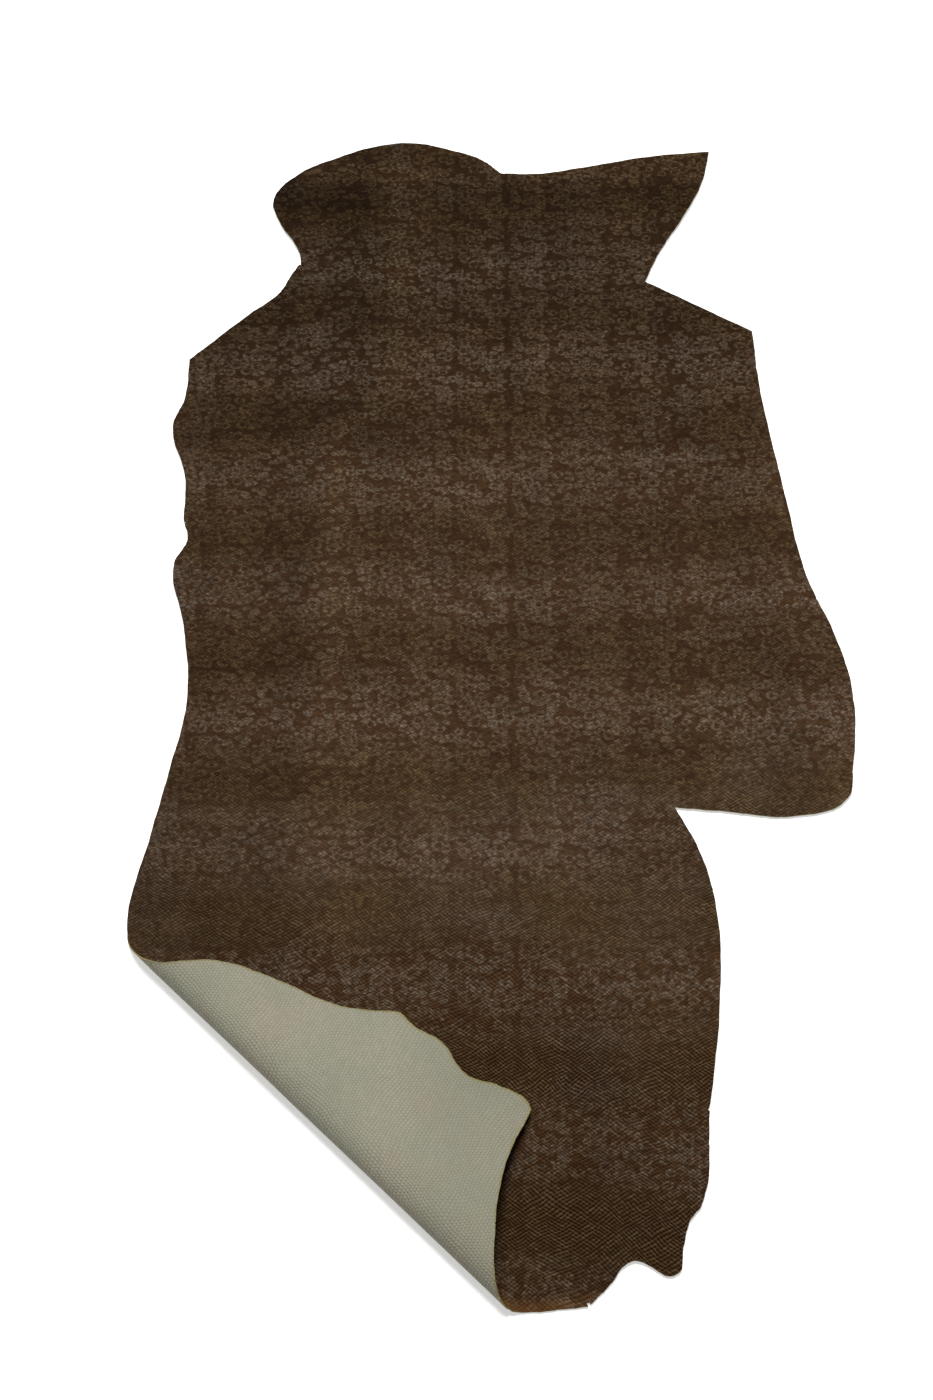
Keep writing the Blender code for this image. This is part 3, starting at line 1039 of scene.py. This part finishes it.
def grain_material():
    leather = bpy.data.materials.new("brown_grain")
    leather.use_nodes = True
    tree = leather.node_tree
    shader = tree.nodes["Principled BSDF"]
    flat = mapped_place(tree, "flat_cut")
    scales = group_node(tree, embossed_scales, "Plate Place", mapped_place(tree, "plate"))
    prints = group_node(tree, roller_print, "Flat Place", flat)
    bands = group_node(tree, dye_and_sheen_bands, "Flat Place", flat)

    # where on the hide this is, and how much of the print it keeps
    y = add(tree, "ShaderNodeSeparateXYZ", {0: flat}).outputs["Y"]
    cloud_scale, cloud_reach = TAIL_CLOUDS
    clouds = flat_noise(tree, flat, cloud_scale, 3.0)
    along = maths(tree, "MULTIPLY_ADD", clouds, cloud_reach,
                  maths(tree, "ADD", y, -cloud_reach / 2))
    above_tail = ramp(tree, along, *PRINT_FADES)
    crest = bands.outputs["Crest"]
    printed = maths(tree, "MAXIMUM", above_tail,
                    ramp(tree, crest, *CREST_EDGES, *PRINT_AT_TAIL))

    # ground and print, then the grooves, then the worn rim
    tone = grain_tone(tree, y, bands.outputs["Strength"], scales.outputs["Scale Tint"])
    bare = maths(tree, "MULTIPLY", printed,
                 maths(tree, "SUBTRACT", 1.0, prints.outputs["Blot"]))
    inked = mix_colours(tree, bare, rubbed_and_sheen_tops(tree, bands, tone), bare_ground(tree, y, tone))
    groove = scales.outputs["Groove"]
    depth = maths(tree, "MULTIPLY", groove,
                  maths(tree, "MULTIPLY", ramp(tree, crest, 0.0, 1.0, 1.0, GROOVE_ON_CREST),
                        ramp(tree, above_tail, 0.0, 1.0, *GROOVE_DEPTH)))
    # the grooves darken, partly as painted shade, less on the crests of the bands
    grooved = mix_colours(tree, depth, inked, GROOVE_BROWN)
    plug(tree, shader.inputs["Base Color"],
         mix_colours(tree, worn_off(tree, y, clouds), grooved, RIM_TAN))
    plug(tree, shader.inputs["Roughness"],
         maths(tree, "MULTIPLY_ADD", groove, *GRAIN_ROUGHNESS))
    shader.inputs["Specular IOR Level"].default_value = GRAIN_SHINE

    pores = bumped(tree, flat_noise(tree, flat, PORE_SCALE, 0.0), PORE_RELIEF)
    plug(tree, shader.inputs["Normal"],
         bumped(tree, scales.outputs["Height"],
                ramp(tree, above_tail, 0.0, 1.0, *SCALE_RELIEF), pores))
    return leather


grain = grain_material()
print("grain side:", len(grain.node_tree.nodes), "nodes")

# %% [markdown]
# ## The flesh side
#
# The underside is sage grey suede. The plate has pressed through it, so each scale shows
# as a small pale dot, and the suede between the dots is painted darker as shade in the
# hollows. Rosy and greenish clouds cross it, where the skin was thicker or thinner, the
# flap grows a little darker towards its free end, by where it lies, and a short nap
# softens the light at a slant.

# %% Flesh material
FLESH_SAGE = (0.276, 0.266, 0.200, 1)
FLESH_ROSE = (0.288, 0.260, 0.196, 1)
FLESH_GREEN = (0.257, 0.257, 0.193, 1)
FLESH_DEEP = (0.158, 0.148, 0.108, 1)
FLESH_RIM = (0.190, 0.165, 0.062, 1)
ROSY_CLOUDS = (11.0, 0.38, 0.66)    # scale of a noise, and where they start and are full
GREEN_CLOUDS = (17.0, 0.40, 0.70)
GREEN_SHIFT = (5.0, 2.0, 0)
DARKER_FLAP_END = (-0.125, -0.030, 0.0, 0.30)   # across the hide as it lies, and the darkening
# how dark the suede is between the raised dots, a painted shade in the hollows
BETWEEN_DOTS = (0.30, 0.30)         # what a scale's tint adds to the dark, and where it starts
RIM_EDGES = (0.0006, 0.0030, 0.85, 0.0)     # from the rim, and the rim colour's share
NAP_SCALE = 900.0
NAP_RELIEF = 0.00006
NAP_ROUGHNESS = (0.2, 0.78)
PRESSED_RELIEF = 0.00038
SUEDE_SHINE = 0.1
SUEDE_SHEEN = (0.12, 0.5)           # weight and roughness


def suede_colour(tree, flat, scales):
    """Sage with its clouds, the darker end, the dots with painted shade between them, and the
    rim.
    """
    rosy_scale, *rosy_edges = ROSY_CLOUDS
    green_scale, *green_edges = GREEN_CLOUDS
    clouds = flat_noise(tree, flat, rosy_scale, 3.0)
    others = flat_noise(tree, vectors(tree, "ADD", flat, GREEN_SHIFT), green_scale, 3.0)
    rosy = mix_colours(tree, ramp(tree, clouds, *rosy_edges), FLESH_SAGE, FLESH_ROSE)
    green = mix_colours(tree, ramp(tree, others, *green_edges), rosy, FLESH_GREEN)
    place = add(tree, "ShaderNodeSeparateXYZ",
                {0: add(tree, "ShaderNodeTexCoord").outputs["Object"]})
    # the flap grows a little darker towards its free end, by where it lies
    darker_end = mix_colours(tree, ramp(tree, place.outputs["X"], *DARKER_FLAP_END), green,
                          FLESH_DEEP)
    between = maths(tree, "SUBTRACT", 1.0, scales.outputs["Dot"])
    # painted shade between the raised dots, deeper under some scales than others
    dark = maths(tree, "MULTIPLY", between,
                 maths(tree, "MULTIPLY_ADD", scales.outputs["Scale Tint"], *BETWEEN_DOTS))
    dotted = mix_colours(tree, dark, darker_end, FLESH_DEEP)
    distance = add(tree, "ShaderNodeAttribute", attribute_name="rim_distance").outputs["Fac"]
    return mix_colours(tree, ramp(tree, distance, *RIM_EDGES), dotted, FLESH_RIM)


def flesh_material():
    suede = bpy.data.materials.new("sage_flesh_side")
    suede.use_nodes = True
    tree = suede.node_tree
    shader = tree.nodes["Principled BSDF"]
    flat = mapped_place(tree, "flat_cut")
    scales = group_node(tree, embossed_scales, "Plate Place", mapped_place(tree, "plate"))
    plug(tree, shader.inputs["Base Color"], suede_colour(tree, flat, scales))
    nap = flat_noise(tree, flat, NAP_SCALE, 2.0)
    plug(tree, shader.inputs["Roughness"], maths(tree, "MULTIPLY_ADD", nap, *NAP_ROUGHNESS))
    shader.inputs["Specular IOR Level"].default_value = SUEDE_SHINE
    shader.inputs["Sheen Weight"].default_value = SUEDE_SHEEN[0]
    shader.inputs["Sheen Roughness"].default_value = SUEDE_SHEEN[1]
    plug(tree, shader.inputs["Normal"],
         bumped(tree, scales.outputs["Dot"], PRESSED_RELIEF, bumped(tree, nap, NAP_RELIEF)))
    return suede


flesh = flesh_material()
print("flesh side:", len(flesh.node_tree.nodes), "nodes")

# %% [markdown]
# ## The cut edge
#
# The knife shows the inside of the leather: matted fibres, tan turning to olive, with
# darker flecks where the dye soaked in. It is only 1.4 mm high, so it needs few layers,
# but it draws the fine pale line round the flap. Its fibres lie level, so their noise is
# read from the piece's own place with the height stretched.

# %% Edge material
EDGE_TAN = (0.235, 0.190, 0.082, 1)
EDGE_DARK = (0.070, 0.046, 0.020, 1)
FIBRE_SCALE = 700.0
FIBRE_STRETCH = (1, 1, 4)
FLECK_EDGES = (0.46, 0.68)
FIBRE_RELIEF = 0.0002
EDGE_ROUGHNESS = 0.9
EDGE_SHINE = 0.2


def edge_material():
    edge = bpy.data.materials.new("cut_edge")
    edge.use_nodes = True
    tree = edge.node_tree
    shader = tree.nodes["Principled BSDF"]
    place = add(tree, "ShaderNodeTexCoord").outputs["Object"]
    fibres = add(tree, "ShaderNodeTexNoise",
                 {"Vector": vectors(tree, "MULTIPLY", place, FIBRE_STRETCH),
                  "Scale": FIBRE_SCALE, "Detail": 4.0}).outputs["Fac"]
    plug(tree, shader.inputs["Base Color"],
         mix_colours(tree, ramp(tree, fibres, *FLECK_EDGES), EDGE_TAN, EDGE_DARK))
    shader.inputs["Roughness"].default_value = EDGE_ROUGHNESS
    shader.inputs["Specular IOR Level"].default_value = EDGE_SHINE
    plug(tree, shader.inputs["Normal"], bumped(tree, fibres, FIBRE_RELIEF))
    return edge


cut_edge = edge_material()
print("cut edge:", len(cut_edge.node_tree.nodes), "nodes")

# %% [markdown]
# ## Folding and thickening
#
# The flat sheet goes through the folding tree, and Solidify then gives it the thickness of
# the leather, with the flesh side and the cut edge as the second and third materials. The
# result is turned into a plain mesh, so that nothing live is left on it.

# %% The finished hide
WAVE_HEIGHT = 0.0016
RIM_LIFT = 0.0018
LIFT_WIDTH = 0.035


def profile_guide():
    curve = bpy.data.curves.new("fold_profile", "CURVE")
    curve.dimensions = "3D"
    spline = curve.splines.new("POLY")
    spline.points.add(len(profile) - 1)
    for point, (reach, height) in zip(spline.points, profile):
        point.co = (reach, height, 0, 1)
    guide = bpy.data.objects.new("fold_profile", curve)
    bpy.context.collection.objects.link(guide)
    return guide


def set_inputs(modifier, values):
    """Set a tree's inputs by their identifiers."""
    for item in modifier.node_group.interface.items_tree:
        if item.in_out == "INPUT" and item.name in values:
            modifier[item.identifier] = values[item.name]


def folded_hide():
    for material in (grain, flesh, cut_edge):
        flat_mesh.materials.append(material)
    hide = bpy.data.objects.new("leather_hide", flat_mesh)
    guide = profile_guide()
    fold = hide.modifiers.new("fold", "NODES")
    fold.node_group = fold_a_corner
    set_inputs(fold, {"Profile": guide, "Across Fold": ACROSS_FOLD, "Fold Reach": FOLD_REACH,
                      "Wave Height": WAVE_HEIGHT, "Wave Spacing": BAND_SPACING,
                      "Rim Lift": RIM_LIFT, "Lift Width": LIFT_WIDTH,
                      "Base Height": THICKNESS / 2, "Leather": grain})
    bpy.context.collection.objects.link(hide)
    body = hide.modifiers.new("thickness", "SOLIDIFY")
    body.thickness = THICKNESS
    body.offset = 0
    body.use_even_offset = True
    body.material_offset = 1
    body.material_offset_rim = 2
    bpy.context.view_layer.update()
    seen = hide.evaluated_get(bpy.context.evaluated_depsgraph_get())
    mesh = bpy.data.meshes.new_from_object(seen)
    hide.modifiers.clear()
    hide.data = mesh
    bpy.data.objects.remove(guide, do_unlink=True)
    return hide


hide = folded_hide()
print("folded hide:", len(hide.data.polygons), "faces,", len(hide.data.materials), "materials")

# %% [markdown]
# The hide's middle is put over the middle of the solid it stands for, its low side is set
# on the table, and its faces are shaded smooth but for the sharp cut edge.

# %% Seat the hide
SHARP_EDGE = math.radians(45)


def seat(hide):
    low = Vector([min(v.co[axis] for v in hide.data.vertices) for axis in range(3)])
    high = Vector([max(v.co[axis] for v in hide.data.vertices) for axis in range(3)])
    middle = (Vector(hide_low) + Vector(hide_high)) / 2
    shift = middle - (low + high) / 2
    shift.z = hide_low[2] - low.z
    for vertex in hide.data.vertices:
        vertex.co += shift
    hide.data.polygons.foreach_set("use_smooth", [True] * len(hide.data.polygons))
    hide.data.set_sharp_from_angle(angle=SHARP_EDGE)
    return low, high


low, high = seat(hide)
print("folded size:", [round(h - l, 4) for l, h in zip(low, high)])

# %% What the hide is
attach(hide, "root")
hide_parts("hide")
print("declared a folded sheet of", round(flat_area, 3), "square metres")
